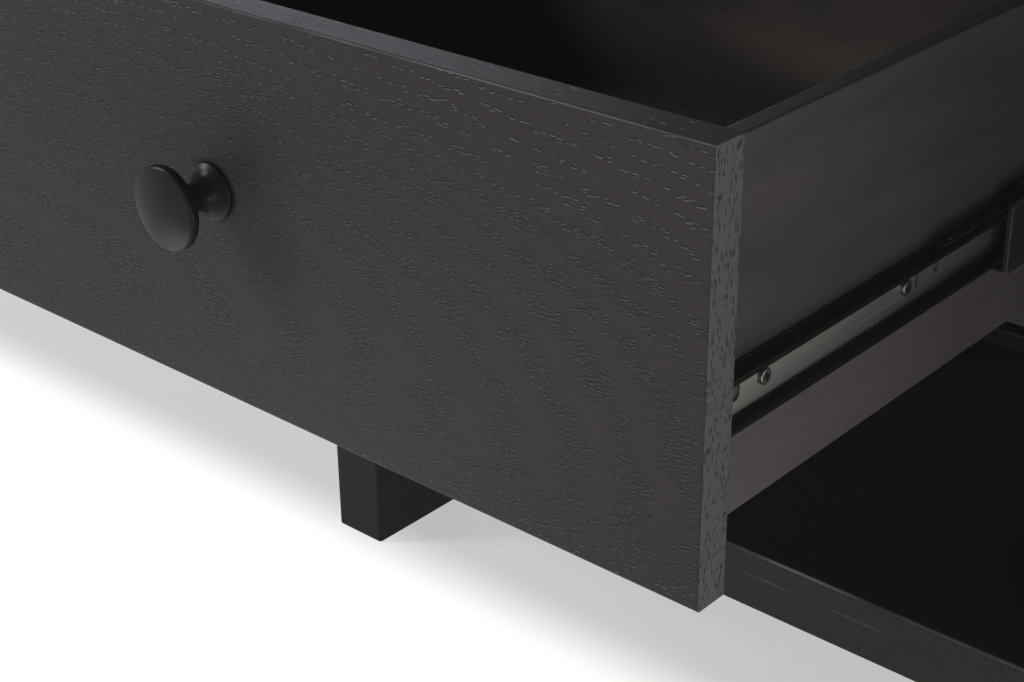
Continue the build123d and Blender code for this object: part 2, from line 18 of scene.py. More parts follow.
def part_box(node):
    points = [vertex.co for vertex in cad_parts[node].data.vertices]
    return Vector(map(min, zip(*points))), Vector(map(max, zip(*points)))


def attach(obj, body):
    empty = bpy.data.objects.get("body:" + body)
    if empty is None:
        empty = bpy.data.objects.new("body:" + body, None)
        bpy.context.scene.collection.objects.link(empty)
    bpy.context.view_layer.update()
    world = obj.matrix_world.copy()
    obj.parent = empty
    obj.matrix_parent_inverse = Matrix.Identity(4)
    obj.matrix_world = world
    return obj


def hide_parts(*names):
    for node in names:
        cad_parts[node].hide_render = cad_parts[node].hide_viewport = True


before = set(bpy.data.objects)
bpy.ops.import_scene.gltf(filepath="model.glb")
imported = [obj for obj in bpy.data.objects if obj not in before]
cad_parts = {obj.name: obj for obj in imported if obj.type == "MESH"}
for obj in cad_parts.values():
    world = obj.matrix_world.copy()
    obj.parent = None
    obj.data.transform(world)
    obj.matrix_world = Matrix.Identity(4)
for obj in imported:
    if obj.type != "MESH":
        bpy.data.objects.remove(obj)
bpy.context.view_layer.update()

# %% [markdown]
# ## Camera
#
# The picture was taken from the front right and from above, with a short telephoto view of one
# corner. A camera could be aimed with a constraint, but its roll and place are known here as
# three directions, so they are written straight into the camera's matrix. The lens follows
# from the focal length in pixels of a picture 1024 pixels wide.

# %% Camera
PICTURE_WIDTH = 1024
SENSOR_WIDTH = 36.0
FOCAL_PIXELS = 1896.1
NEAREST_SEEN = 0.05
camera_data = bpy.data.cameras.new("corner_camera")
camera_data.sensor_fit = "HORIZONTAL"
camera_data.sensor_width = SENSOR_WIDTH
camera_data.lens = FOCAL_PIXELS / PICTURE_WIDTH * SENSOR_WIDTH
camera_data.clip_start = NEAREST_SEEN
camera = bpy.data.objects.new("corner_camera", camera_data)
bpy.context.scene.collection.objects.link(camera)
camera_right = Vector((0.75075, 0.66050, -0.01062))
camera_up = Vector((-0.29022, 0.34424, 0.89290))
camera_back = Vector((0.59342, -0.66726, 0.45013))
camera_place = Vector((0.32624, -0.94778, 0.70775))
turn = Matrix((camera_right, camera_up, camera_back)).transposed().to_4x4()
camera.matrix_world = Matrix.Translation(camera_place) @ turn
bpy.context.scene.camera = camera
print("lens:", round(camera_data.lens, 2), "mm")

# %% [markdown]
# ## Helpers for colours and nodes
#
# Colours are easiest to choose as sRGB hex values, the way a paint chart gives them, but a
# shader works in linear light. One function does that change, with the numbers of the sRGB
# standard.
#
# A finish is a net of nodes. Each could be made in the editor by hand, but a script needs one
# small function that adds a node, sets it and links it. Its sockets are given by number,
# counted from the top, or by name. A tuple of sockets takes a tuple of values: a Map Range has
# the two ends of its old range and of its new one, and a Mix node keeps a pair of sockets for
# numbers, one for vectors and one for colours.

# %% Helpers for colours and nodes
FROM, TO = (1, 2), (3, 4)
NUMBERS, VECTORS, COLOURS = (2, 3), (4, 5), (6, 7)


def linear(hex_colour):
    """An sRGB hex colour as linear red, green, blue and alpha."""
    steps = [int(hex_colour[i:i + 2], 16) / 255 for i in (0, 2, 4)]
    values = [s / 12.92 if s <= 0.04045 else ((s + 0.055) / 1.055) ** 2.4 for s in steps]
    return (*values, 1.0)


def fill(tree, node, sockets):
    """Give sockets plain values, or links from an output or from a node's first live output."""
    for key, value in sockets.items():
        pairs = zip(key, value) if isinstance(key, tuple) else [(key, value)]
        for socket, content in pairs:
            if isinstance(content, bpy.types.Node):
                content = next(output for output in content.outputs if output.enabled)
            if isinstance(content, bpy.types.NodeSocket):
                tree.links.new(content, node.inputs[socket])
            else:
                node.inputs[socket].default_value = content


def add(tree, kind, sockets=None, **settings):
    """Add a node to a tree, with its own settings and with its sockets filled."""
    node = tree.nodes.new("ShaderNode" + kind)
    for name, value in settings.items():
        setattr(node, name, value)
    fill(tree, node, sockets or {})
    return node


print("sRGB middle grey in linear light:", [round(v, 3) for v in linear("808080")])

# %% [markdown]
# ## Floor
#
# The table stands on a sweep of white paper. In front, the paper is so bright that it is pure
# white. Under and behind the table it is a pale grey, with a soft edge along the table's front.
# Lamps alone could draw that shade, but then it would shift with each change to a lamp. So the
# shade is painted: the paper glows a little by itself, and less where the painted shade is. The
# painted shade is worked out from the place on the floor: its front edge is sharpest at the
# table and grows softer to the sides.
#
# At the front left, one round area glows more: a painted pool of light, like paper close to a
# lamp. Its glow also lights the knob, so it gives the knob's disc its pale lower half and puts a
# second, faint shadow above the knob.
#
# One big plane is enough for the paper.

# %% Floor plane
FLOOR_HALF = 20.0
FLOOR_DROP = 0.0004  # just under the feet, so that two faces never share one place
corners = [(-1, -1), (1, -1), (1, 1), (-1, 1)]
floor_mesh = bpy.data.meshes.new("studio_floor")
floor_points = [(x * FLOOR_HALF, y * FLOOR_HALF, -FLOOR_DROP) for x, y in corners]
floor_mesh.from_pydata(floor_points, [], [(0, 1, 2, 3)])
floor = bpy.data.objects.new("studio_floor", floor_mesh)
bpy.context.scene.collection.objects.link(floor)
print("floor:", 2 * FLOOR_HALF, "m square")

# %% Painted soft shade on the floor
PAPER_GLOW, SHADE_GLOW = 0.98, 0.49
SHADE_MIDDLE = -0.3            # along X; the shade is the same to both sides of it
SHADE_FRONT = (-0.225, -0.15)  # along Y, from no shade to full shade
SHADE_BACK = (1.5, 0.2)        # along Y
SHADE_SIDE = (1.9, 0.8)        # outwards from the middle
SHADE_SHARP_TO = 0.68          # farther out than this, the front edge grows softer
SHADE_FAN = 0.55               # metres of softness for each metre farther out
floor_material = bpy.data.materials.new("white_paper_with_painted_shade_and_light")
floor_material.use_nodes = True
floor_tree = floor_material.node_tree
floor_place = add(floor_tree, "TexCoord").outputs["Object"]
spread = add(floor_tree, "SeparateXYZ", {0: floor_place}).outputs
aside = add(floor_tree, "Math", {0: spread["X"], 1: SHADE_MIDDLE}, operation="SUBTRACT")
outwards = add(floor_tree, "Math", {0: aside}, operation="ABSOLUTE")
beyond = add(floor_tree, "Math", {0: outwards, 1: SHADE_SHARP_TO}, operation="SUBTRACT")
spill = add(floor_tree, "Math", {0: beyond, 1: 0.0}, operation="MAXIMUM")
edge = add(floor_tree, "Math", {0: spill, 1: -SHADE_FAN, 2: SHADE_FRONT[0]},
           operation="MULTIPLY_ADD")
reaches = [(spread["Y"], (edge, SHADE_FRONT[1])), (spread["Y"], SHADE_BACK),
           (outwards, SHADE_SIDE)]
front, back, sides = [
    add(floor_tree, "MapRange", {0: way, FROM: ends}, interpolation_type="SMOOTHSTEP")
    for way, ends in reaches]
depth = add(floor_tree, "Math", {0: front, 1: back}, operation="MULTIPLY")
shade = add(floor_tree, "Math", {0: depth, 1: sides}, operation="MULTIPLY")
glow = add(floor_tree, "MapRange", {0: shade, TO: (PAPER_GLOW, SHADE_GLOW)})
print("shade from", SHADE_FRONT[0], "to", SHADE_BACK[0], "m along Y")

# %% Painted pool of light on the floor, and the paper
LIGHT_POOL_PLACE = (-0.55, -0.88, 0.0)
LIGHT_POOL_RADIUS = 0.32
LIGHT_POOL_GLOW = 6.4
apart = add(floor_tree, "VectorMath", {0: floor_place, 1: LIGHT_POOL_PLACE}, operation="DISTANCE")
painted_light_pool = add(floor_tree, "MapRange",
           {0: apart.outputs["Value"], FROM: (LIGHT_POOL_RADIUS, 0.0), TO: (0.0, LIGHT_POOL_GLOW)},
           interpolation_type="SMOOTHSTEP")
floor_glow = add(floor_tree, "Math", {0: glow, 1: painted_light_pool}, operation="ADD")
# Uncoated paper: matt, with hardly any mirror of what stands on it.
fill(floor_tree, floor_tree.nodes["Principled BSDF"], {
    "Base Color": linear("7c7b7a"), "Roughness": 0.9, "Specular IOR Level": 0.1,
    "Emission Color": linear("fffefc"), "Emission Strength": floor_glow})
floor_mesh.materials.append(floor_material)
print("floor finish:", floor_material.name)

# %% [markdown]
# ## Light
#
# The light is soft and comes from panels. Small lamps would give hard shadows that this kind
# of picture does not have. Each panel has one task. The two at the front left light the drawer
# front and the inside of the drawer, and throw the knob's shadow to the right. The one at the
# right shows the drawer's side and the end of its front. A panel on the floor stands for the
# light that the paper throws back up at the slide. A cool one behind the table gives the upper
# edges their sheen, and a weak one reaches into the shelf.
#
# The surround is pale near the horizon, so that the upright faces have something to mirror,
# and dark above, so that the black boards stay black. Last, the display's black level is lifted
# a little, because the blacks of the picture are not quite black.

# %% Light panels
MIDDLE = (-0.25, -0.4, 0.4)
WHITE, COOL_WHITE = (1.0, 1.0, 1.0), (0.86, 0.9, 1.0)
# Name, place, what it is turned to, width and height, watts, and colour in linear light.
PANELS = [
    ("front_left_panel", (-2.35, -2.05, 2.2), MIDDLE, (0.7, 0.7), 45, WHITE),
    ("low_left_panel", (-2.4, -2.05, 1.2), MIDDLE, (0.5, 0.4), 34, WHITE),
    ("right_panel", (2.4, 0.38, 0.36), MIDDLE, (0.8, 0.6), 50, WHITE),
    ("floor_bounce_panel", (0.95, -0.75, 0.02), (0.95, -0.75, 1.0), (1.0, 0.7), 11, WHITE),
    ("rear_left_panel", (-2.6, 1.6, 1.25), MIDDLE, (1.2, 0.8), 14, COOL_WHITE),
    ("shelf_panel", (1.1, -1.5, 0.32), (0.0, 0.05, 0.14), (0.9, 0.3), 4, WHITE)]
for name, place, target, size, watts, colour in PANELS:
    data = bpy.data.lights.new(name, "AREA")
    data.shape = "RECTANGLE"
    data.size, data.size_y = size
    data.energy = watts
    data.color = colour
    panel = bpy.data.objects.new(name, data)
    bpy.context.scene.collection.objects.link(panel)
    aim = (Vector(place) - Vector(target)).to_track_quat("Z", "Y")
    panel.matrix_world = Matrix.Translation(place) @ aim.to_matrix().to_4x4()
print("panels:", [panel[0] for panel in PANELS])

# %% Surround and display
SURROUND_HEIGHTS = (0.1, 0.3)  # upward part of a direction: 0 at the horizon, 1 overhead
SURROUND_GLOW = (0.8, 0.03)
BLACK_LIFT = -0.004            # for red, green and blue
world = bpy.data.worlds.new("white_surround")
bpy.context.scene.world = world
world.use_nodes = True
world_tree = world.node_tree
look = add(world_tree, "TexCoord").outputs["Generated"]
height = add(world_tree, "SeparateXYZ", {0: look}).outputs["Z"]
surround = add(world_tree, "MapRange", {0: height, FROM: SURROUND_HEIGHTS, TO: SURROUND_GLOW})
fill(world_tree, world_tree.nodes["Background"],
     {"Color": linear("fbfbff"), "Strength": surround})
display = bpy.context.scene.view_settings
display.view_transform = "Standard"
display.use_curve_mapping = True
display.curve_mapping.black_level = (BLACK_LIFT, BLACK_LIFT, BLACK_LIFT)
display.curve_mapping.update()
print("surround glow:", SURROUND_GLOW[0], "at the horizon,", SURROUND_GLOW[1], "above")

# %% [markdown]
# ## Black-stained oak
#
# The boards are oak veneer, wire-brushed, stained black and given a thin matt lacquer. What
# the eye gets is a dull brown-black with rows of small open pores. Each pore is a groove a few
# millimetres long: its lower lip catches the light as a pale dash, and its upper lip lies in
# shade. Both are painted into the colour, as a painted highlight and a painted shade.
#
# A flat picture of wood could be used, but then every board would repeat it. Here the pattern
# is worked out from the tree itself: yearly rings around a pith, cut by a flat board that is
# a little out of line with the trunk. That gives straight rows near the board's edge and
# arches near its middle, as on any crown-cut board. Pores open only in the wood that grew
# early in each year, so the ring decides where they are.
#
# The first helpers start a finish, whose places are in millimetres, make noise of a real size,
# and turn the place so that the grain of any board runs along the first axis. The ends of a
# board are covered with an edge band, which has a grain of its own.

# %% A new finish, noise of a real size, and the direction of the grain
MM_PER_METRE = 1000.0
AXES = ("X", "Y", "Z")
END_FACING = 0.72  # a face that looks along the grain more than this is an end


def new_finish(name):
    """A material, its node tree, its shader, and the place on the part in millimetres."""
    material = bpy.data.materials.new(name)
    material.use_nodes = True
    tree = material.node_tree
    where = add(tree, "TexCoord").outputs["Object"]
    place = add(tree, "VectorMath", {0: where, 1: (MM_PER_METRE,) * 3}, operation="MULTIPLY")
    return material, tree, tree.nodes["Principled BSDF"], place


def sized_noise(tree, place, sizes, detail=2.0):
    """Soft noise with clouds of these sizes along the three axes, in millimetres."""
    scale = tuple(1 / size for size in sizes)
    scaled = add(tree, "VectorMath", {0: place, 1: scale}, operation="MULTIPLY")
    return add(tree, "TexNoise", {"Vector": scaled, "Scale": 1.0, "Detail": detail})


def board_grain(tree, place, along, across):
    """The place with the grain along its first axis, and 1 on the board's ends, 0 elsewhere."""
    through = next(axis for axis in AXES if axis not in (along, across))
    parts = add(tree, "SeparateXYZ", {0: place}).outputs
    board = add(tree, "CombineXYZ", {0: parts[along], 1: parts[across], 2: parts[through]})
    band = add(tree, "CombineXYZ", {0: parts[across], 1: parts[through], 2: parts[along]})
    normal = add(tree, "TexCoord").outputs["Normal"]
    facing = add(tree, "SeparateXYZ", {0: normal}).outputs[along]
    squareness = add(tree, "Math", {0: facing}, operation="ABSOLUTE")
    on_end = add(tree, "Math", {0: squareness, 1: END_FACING}, operation="GREATER_THAN")
    grain = add(tree, "Mix", {0: on_end, VECTORS: (board, band)}, data_type="VECTOR")
    return grain, on_end


print("helpers for finishes ready")

# %% [markdown]
# ## Yearly rings
#
# A point of the board is so far above or below the pith, and so far in front of it. Added as
# squares, these two would give round rings. A higher power gives the arches of this board
# their squarer shoulders. Below the pith, the arches can be drawn closer together, because a
# trunk is seldom round. Two noises move the rings: a slow one that bends them and a short one
# that frays their edges.
#
# The radius divided by the ring's width counts the years. What is left after the whole years
# is the season, and the number of the year picks how porous that year was. In a slow-grown
# outer ring the early wood is only a narrow row, and near the pith it is a wide band.

# %% Yearly rings of a board, in millimetres
ARCH_POWER = 3.0
TRUNK_TILT = 0.25               # how far the board leaves the pith for each mm along it
FULL_RADIUS = 183.0             # at this radius a ring is as wide as it is given
EARLY_RADII = (118.0, 150.0)    # between these radii the early wood grows narrower
INNER_EARLY, OUTER_EARLY = 0.62, 0.26
BEND, BEND_REACH = (150.0, 30.0, 30.0), 2.0  # a reach is how many wanders a noise moves
FRAY, FRAY_REACH = (14.0, 2.2, 2.2), 2.6


def ring_radius(tree, grain, pith, near, flank):
    """How far the wood is from the pith. Below the pith, distances count flank times."""
    cut = add(tree, "SeparateXYZ", {0: grain}).outputs
    rise = add(tree, "Math", {0: cut[1], 1: pith[0]}, operation="SUBTRACT")
    below = add(tree, "Math", {0: rise, 1: -flank}, operation="MULTIPLY")
    start = near - TRUNK_TILT * pith[1]
    depth = add(tree, "Math", {0: cut[0], 1: TRUNK_TILT, 2: start}, operation="MULTIPLY_ADD")
    legs = [add(tree, "Math", {0: rise, 1: below}, operation="MAXIMUM"),
            add(tree, "Math", {0: depth}, operation="ABSOLUTE")]
    powers = [add(tree, "Math", {0: leg, 1: ARCH_POWER}, operation="POWER") for leg in legs]
    total = add(tree, "Math", {0: powers[0], 1: powers[1]}, operation="ADD")
    return add(tree, "Math", {0: total, 1: 1 / ARCH_POWER}, operation="POWER")


def season(tree, grain, ring, wander, pith, near, narrowing=1.0, flank=1.0):
    """How far through its year the wood grew, how porous that year was, and which share of the
    year is early wood, each 0 to 1. With a narrowing over 1, the outer rings are narrower."""
    radius = ring_radius(tree, grain, pith, near, flank)
    early = add(tree, "MapRange",
                {0: radius, FROM: EARLY_RADII, TO: (INNER_EARLY, OUTER_EARLY)})
    bend = sized_noise(tree, grain, BEND, detail=3.0)
    bow = add(tree, "Math", {0: bend, 1: BEND_REACH * wander, 2: radius},
              operation="MULTIPLY_ADD")
    ragged = sized_noise(tree, grain, FRAY, detail=4.0)
    fray = add(tree, "Math", {0: early, 1: FRAY_REACH * wander}, operation="MULTIPLY")
    bent = add(tree, "Math", {0: ragged, 1: fray, 2: bow}, operation="MULTIPLY_ADD")
    share = add(tree, "Math", {0: bent, 1: FULL_RADIUS}, operation="DIVIDE")
    age = add(tree, "Math", {0: share, 1: narrowing}, operation="POWER")
    years_to_full = FULL_RADIUS / (narrowing * ring)
    year = add(tree, "Math", {0: age, 1: years_to_full}, operation="MULTIPLY")
    number = add(tree, "Math", {0: year}, operation="FLOOR")
    harvest = add(tree, "TexWhiteNoise", {"W": number}, noise_dimensions="1D")
    time = add(tree, "Math", {0: year}, operation="FRACT")
    return time, harvest.outputs["Value"], early


print("rings as wide as given at", FULL_RADIUS, "mm from the pith")

# %% [markdown]
# ## Pores
#
# A pore could be drawn wherever the season is early, but then the edge of the season would cut
# pores in half. So the board is divided into long cells, one for each pore. The season is
# taken at the middle of the cell, and the whole pore is open or closed.
#
# Real oak pores are 0.2 to 0.4 mm wide, which is finer than a pixel of this picture. They are
# drawn about three times as coarse, so that they show as the small dashes that the eye
# remembers. The painted highlight on the lips is stronger on single rows in the outer wood than
# on the crowded bands near the pith.

# %% Pores of the oak, in millimetres
RING_WIDTH = 4.6
RING_WANDER = 6.0
PORE_LENGTH, PORE_WIDTH, PORE_DEPTH = 3.8, 0.95, 0.05
SPRING_PORES = 3.4            # over 1, so that all cells are open as the year starts
YEARLY_PORES = (0.75, 1.3)    # from a poor year to a rich one
PATCH, PATCH_PORES = (45.0, 7.0, 7.0), (0.5, 1.4)
NOISE_MIDDLE = (0.35, 0.65)   # most of a noise lies in this range
END_PORES = 0.5               # share of the cells that are open on an edge band
PORE_RIM = (0.52, 0.32)       # from the outside to the inside of a pore, in cells
# The next three values place the painted highlight and the painted shade on a pore's lips, and
# set how strong the painted highlight is.
PAINTED_LIP_SPAN = (-0.17, -0.07)          # from the lit lip to the dark one, in cells
OUTER_PAINTED_HIGHLIGHT, INNER_PAINTED_HIGHLIGHT = 1.0, 0.58
PORE_KEENNESS = (0.55, 1.0)   # from a faint pore to a clear one


def oak_pores(tree, grain, on_end, rings):
    """How porous the wood is, how deep a pore is cut, how clearly it shows, and its painted lit
    lip.
    """
    scale = (1 / PORE_LENGTH, 1 / PORE_WIDTH, 1 / PORE_WIDTH)
    space = add(tree, "VectorMath", {0: grain, 1: scale}, operation="MULTIPLY")
    cells = add(tree, "TexVoronoi", {"Vector": space, "Scale": 1.0}).outputs
    seat = add(tree, "VectorMath", {0: cells["Position"], 1: scale}, operation="DIVIDE")
    time, harvest, share = season(tree, seat, RING_WIDTH, RING_WANDER, **rings)
    spring = add(tree, "MapRange", {0: time, FROM: (0.0, share), TO: (SPRING_PORES, 0.0)},
                 interpolation_type="SMOOTHSTEP")
    yearly = add(tree, "MapRange", {0: harvest, TO: YEARLY_PORES})
    patches = sized_noise(tree, grain, PATCH)
    patch = add(tree, "MapRange", {0: patches, FROM: NOISE_MIDDLE, TO: PATCH_PORES})
    strength = add(tree, "Math", {0: yearly, 1: patch}, operation="MULTIPLY")
    porous = add(tree, "Math", {0: spring, 1: strength}, operation="MULTIPLY")
    early = add(tree, "Mix", {0: on_end, NUMBERS: (porous, END_PORES)})
    chance = add(tree, "SeparateColor", {0: cells["Color"]}).outputs
    opened = add(tree, "Math", {0: early, 1: chance[0]}, operation="GREATER_THAN")
    groove = add(tree, "MapRange", {0: cells["Distance"], FROM: PORE_RIM},
                 interpolation_type="SMOOTHSTEP")
    cut = add(tree, "Math", {0: groove, 1: opened}, operation="MULTIPLY")
    keen = add(tree, "MapRange", {0: chance[1], TO: PORE_KEENNESS})
    clear = add(tree, "Math", {0: cut, 1: keen}, operation="MULTIPLY")
    inside = add(tree, "VectorMath", {0: space, 1: cells["Position"]}, operation="SUBTRACT")
    upper = add(tree, "SeparateXYZ", {0: inside}).outputs[1]
    painted_highlight_strength = add(tree, "MapRange",
                {0: share, FROM: (OUTER_EARLY, INNER_EARLY), TO: (OUTER_PAINTED_HIGHLIGHT, INNER_PAINTED_HIGHLIGHT)})
    painted_lip_highlight = add(tree, "MapRange", {0: upper, FROM: PAINTED_LIP_SPAN, TO: (painted_highlight_strength, 0.0)})
    return early, cut, clear, painted_lip_highlight


print("rings every", RING_WIDTH, "mm, pores", PORE_LENGTH, "x", PORE_WIDTH, "mm")

# %% [markdown]
# ## Rubbed edges and a painted highlight
#
# Where a board's edge is rounded, a pale line runs along the edge in broken stretches. It is
# partly stain that sanding and handling rub thin, and partly a painted highlight where the
# rounding catches the light. It could be a strip of its own, but the rounding is in the CAD
# shape already. Only a rounded edge faces away from all three axes, so the direction of the
# surface finds it. Edges that face upwards are rubbed most and catch the most light, so they get
# the palest line.

# %% Rubbed edges, with a painted highlight
ROUNDED = (0.97, 0.8)   # largest part of the direction, from a flat face to a rounded edge
LEVEL = (0.15, 0.5)     # upward part of the direction, from an upright edge to an upper one
RUB, RUB_STRENGTH = (60.0, 9.0, 9.0), (0.1, 0.7)


def arris_wear_and_highlight(tree, grain):
    """Where the pale line goes, stain rubbed thin and a painted highlight, 0 to 1."""
    normal = add(tree, "TexCoord").outputs["Normal"]
    parts = add(tree, "VectorMath", {0: normal}, operation="ABSOLUTE")
    facing = add(tree, "SeparateXYZ", {0: parts}).outputs
    wider = add(tree, "Math", {0: facing[0], 1: facing[1]}, operation="MAXIMUM")
    widest = add(tree, "Math", {0: wider, 1: facing[2]}, operation="MAXIMUM")
    rounded = add(tree, "MapRange", {0: widest, FROM: ROUNDED})
    level = add(tree, "MapRange", {0: facing[2], FROM: LEVEL})
    stretches = sized_noise(tree, grain, RUB)
    rubbed = add(tree, "MapRange", {0: stretches, FROM: NOISE_MIDDLE, TO: RUB_STRENGTH})
    edge = add(tree, "Math", {0: rounded, 1: level}, operation="MULTIPLY")
    return add(tree, "Math", {0: edge, 1: rubbed}, operation="MULTIPLY")


print("rubbed stretches about", RUB[0], "mm long")

# %% [markdown]
# ## The oak finish
#
# Now the parts come together. The stain is a little different on early and late wood, and
# streaked by the fibres that the brushing raised. Over that come the edge band, the pores with
# their painted highlight and painted shade on the two lips, and the rubbed edges with their
# painted highlight. Pores and fibres also go into a bump, because the eye knows a brushed board
# by the way it breaks up the light. The lacquer is matt, so the mirror is kept far below that of
# a bare plastic.
#
# Each direction of the grain needs its own finish, with its own place of the pith.

# %% One oak finish for each direction of the grain
FIBRE, FIBRE_DEPTH = (26.0, 0.45, 0.45), 0.02
NOISE_SPREAD = (0.3, 0.7)
OAK_ROUGHNESS = (0.44, 0.52)
LACQUER_IOR = 1.5
# The last of these tones is the pale line on rounded edges: rubbed stain and a painted
# highlight.
STREAK_TONE, BAND_TONE, BAND_PORE_TONE, WORN_AND_HIGHLIGHT_TONE = "2d2a28", "363637", "191919", "707074"


def black_oak(name, along, across, tones, mirror, **rings):
    """along and across are the board's axes. tones are the stain on late wood and on early wood,
    then the painted highlight on the pores' lower lips and the painted shade on their upper
    lips.
    rings says how the board lies in the trunk: pith is the place across and along it where the
    arches point, and near its distance from there."""
    material, tree, shader, place = new_finish(name)
    grain, on_end = board_grain(tree, place, along, across)
    early, cut, clear, painted_lip_highlight = oak_pores(tree, grain, on_end, rings)
    fibre = sized_noise(tree, grain, FIBRE)
    late_tone, early_tone, painted_highlight_tone, painted_shade_tone = [linear(tone) for tone in tones]
    painted_lip_tones = add(tree, "Mix", {0: painted_lip_highlight, COLOURS: (painted_shade_tone, painted_highlight_tone)}, data_type="RGBA")
    pores = add(tree, "Mix", {0: on_end, COLOURS: (painted_lip_tones, linear(BAND_PORE_TONE))},
                data_type="RGBA")
    worn_and_highlit = arris_wear_and_highlight(tree, grain)
    colour = late_tone
    for share, layer in ((early, early_tone), (fibre, linear(STREAK_TONE)),
                         (on_end, linear(BAND_TONE)), (clear, pores),
                         (worn_and_highlit, linear(WORN_AND_HIGHLIGHT_TONE))):
        colour = add(tree, "Mix", {0: share, COLOURS: (colour, layer)}, data_type="RGBA")
    rough = add(tree, "MapRange", {0: fibre, FROM: NOISE_SPREAD, TO: OAK_ROUGHNESS})
    low = add(tree, "Math", {0: cut, 1: -PORE_DEPTH}, operation="MULTIPLY")
    relief = add(tree, "Math", {0: fibre, 1: FIBRE_DEPTH, 2: low}, operation="MULTIPLY_ADD")
    bump = add(tree, "Bump", {"Height": relief, "Distance": 1 / MM_PER_METRE, "Strength": 1.0})
    fill(tree, shader, {"Base Color": colour, "Roughness": rough, "Normal": bump,
                        "IOR": LACQUER_IOR, "Specular IOR Level": mirror})
    return material


print("oak fibres", FIBRE[0], "x", FIBRE[1], "mm")

# %% [markdown]
# ## Giving each board its oak
#
# The grain of a board follows its long side, as a maker would lay the veneer: along the drawer
# fronts, the top, the shelf and the rails, and up the side panels and the divider. The shelf,
# the drawer decks and the rails have filled pores, so their tones lie close together.

# %% Oak on the boards
DRAWERS = ("left_drawer", "right_drawer")
# The last two tones of each set are the painted highlight and the painted shade on the pores'
# lips.
FRONT_TONES = ("272524", "1d2021", "666b6d", "020202")
SHELF_TONES = ("1f1d1b", "201f1e", "242322", "1b1918")


def dress(material, *nodes):
    """Give the CAD nodes this material and no other."""
    for node in nodes:
        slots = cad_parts[node].data.materials
        slots.clear()
        slots.append(material)
    print(material.name, "on", len(nodes), "nodes")


def of_drawers(*endings):
    """The node names with these endings, for both drawers."""
    return [drawer + "_" + ending for drawer in DRAWERS for ending in endings]


front_oak = black_oak("black_stained_oak_drawer_front", "X", "Z", FRONT_TONES, mirror=0.045,
                      pith=(342, -38), near=106, narrowing=2.0, flank=4.5)
dress(front_oak, *of_drawers("front"))
top_oak = black_oak("black_stained_oak_top_board", "X", "Y", FRONT_TONES, mirror=0.06,
                    pith=(-60, 200), near=90, narrowing=2.0)
dress(top_oak, "top_panel")
flat_oak = black_oak("black_stained_oak_shelf_board", "X", "Y", SHELF_TONES, mirror=0.06,
                     pith=(-60, 200), near=60)
dress(flat_oak, "lower_shelf", "left_drawer_deck", "right_drawer_deck",
      "base_front_rail", "base_rear_rail", "shelf_stop_strips")
upright_oak = black_oak("black_stained_oak_upright_board", "Z", "Y", FRONT_TONES, mirror=0.06,
                        pith=(20, 500), near=50, narrowing=1.5)
dress(upright_oak, "left_side_panel", "right_side_panel", "centre_divider")

# %% [markdown]
# ## The drawer box
#
# The boxes are made of a plain close-grained wood, stained brown-black and sprayed with satin
# lacquer. It has no open pores, so the eye sees a smooth dark board with soft brown clouds
# along the grain and a few faint growth lines. The rings are the same idea as for the oak,
# only wide apart and low in contrast. Towards its lower edge each board turns to another tone,
# lighter on the box sides and darker on the box front and back.

# %% Drawer wood, one finish for the sides and one for the front and back of the box
BOX_RINGS = {"ring": 26.0, "wander": 16.0, "pith": (300, -200), "near": 30}
LATE_LINE, LINE_STRENGTH, LINE_TONE = (0.86, 1.0), (0.0, 0.3), "1e1c1b"
CLOUD, CLOUD_RANGE = (90.0, 22.0, 22.0), (0.35, 0.68)
BOX_FIBRE, BOX_FIBRE_DEPTH = (40.0, 0.8, 0.8), 0.01
# The next heights, in mm, run from the main tone above to the lower tone below.
LOWER_TONE_HEIGHTS, LOWER_TONE_STRENGTH = (388.0, 350.0), (0.0, 0.9)  # from heartwood down to sapwood
BOX_ROUGHNESS, BOX_MIRROR = (0.36, 0.44), 0.15


def drawer_wood(name, along, across, tones):
    """tones are the board's main tone, its clouds, and its tone towards the lower edge."""
    material, tree, shader, place = new_finish(name)
    grain = board_grain(tree, place, along, across)[0]
    time = season(tree, grain, **BOX_RINGS)[0]
    line = add(tree, "MapRange", {0: time, FROM: LATE_LINE, TO: LINE_STRENGTH},
               interpolation_type="SMOOTHSTEP")
    clouds = add(tree, "MapRange", {0: sized_noise(tree, grain, CLOUD), FROM: CLOUD_RANGE})
    rise = add(tree, "SeparateXYZ", {0: grain}).outputs[1]
    lower_tone_share = add(tree, "MapRange", {0: rise, FROM: LOWER_TONE_HEIGHTS, TO: LOWER_TONE_STRENGTH},
              interpolation_type="SMOOTHSTEP")
    colour = linear(tones[0])
    for share, tone in ((clouds, tones[1]), (lower_tone_share, tones[2]), (line, LINE_TONE)):
        colour = add(tree, "Mix", {0: share, COLOURS: (colour, linear(tone))}, data_type="RGBA")
    fibre = sized_noise(tree, grain, BOX_FIBRE)
    rough = add(tree, "MapRange", {0: fibre, FROM: NOISE_SPREAD, TO: BOX_ROUGHNESS})
    bump = add(tree, "Bump", {"Height": fibre, "Distance": BOX_FIBRE_DEPTH / MM_PER_METRE,
                              "Strength": 1.0})
    fill(tree, shader, {"Base Color": colour, "Roughness": rough, "Normal": bump,
                        "IOR": LACQUER_IOR, "Specular IOR Level": BOX_MIRROR})
    return material


side_wood = drawer_wood("lacquered_brown_black_drawer_side", "Y", "Z",
                        ("272526", "2f2b2b", "393435"))
dress(side_wood, *of_drawers("box_left_side", "box_right_side"))
cross_wood = drawer_wood("lacquered_brown_black_drawer_end", "X", "Z",
                         ("3b3633", "46403c", "2a2624"))
dress(cross_wood, *of_drawers("box_front", "box_back"))

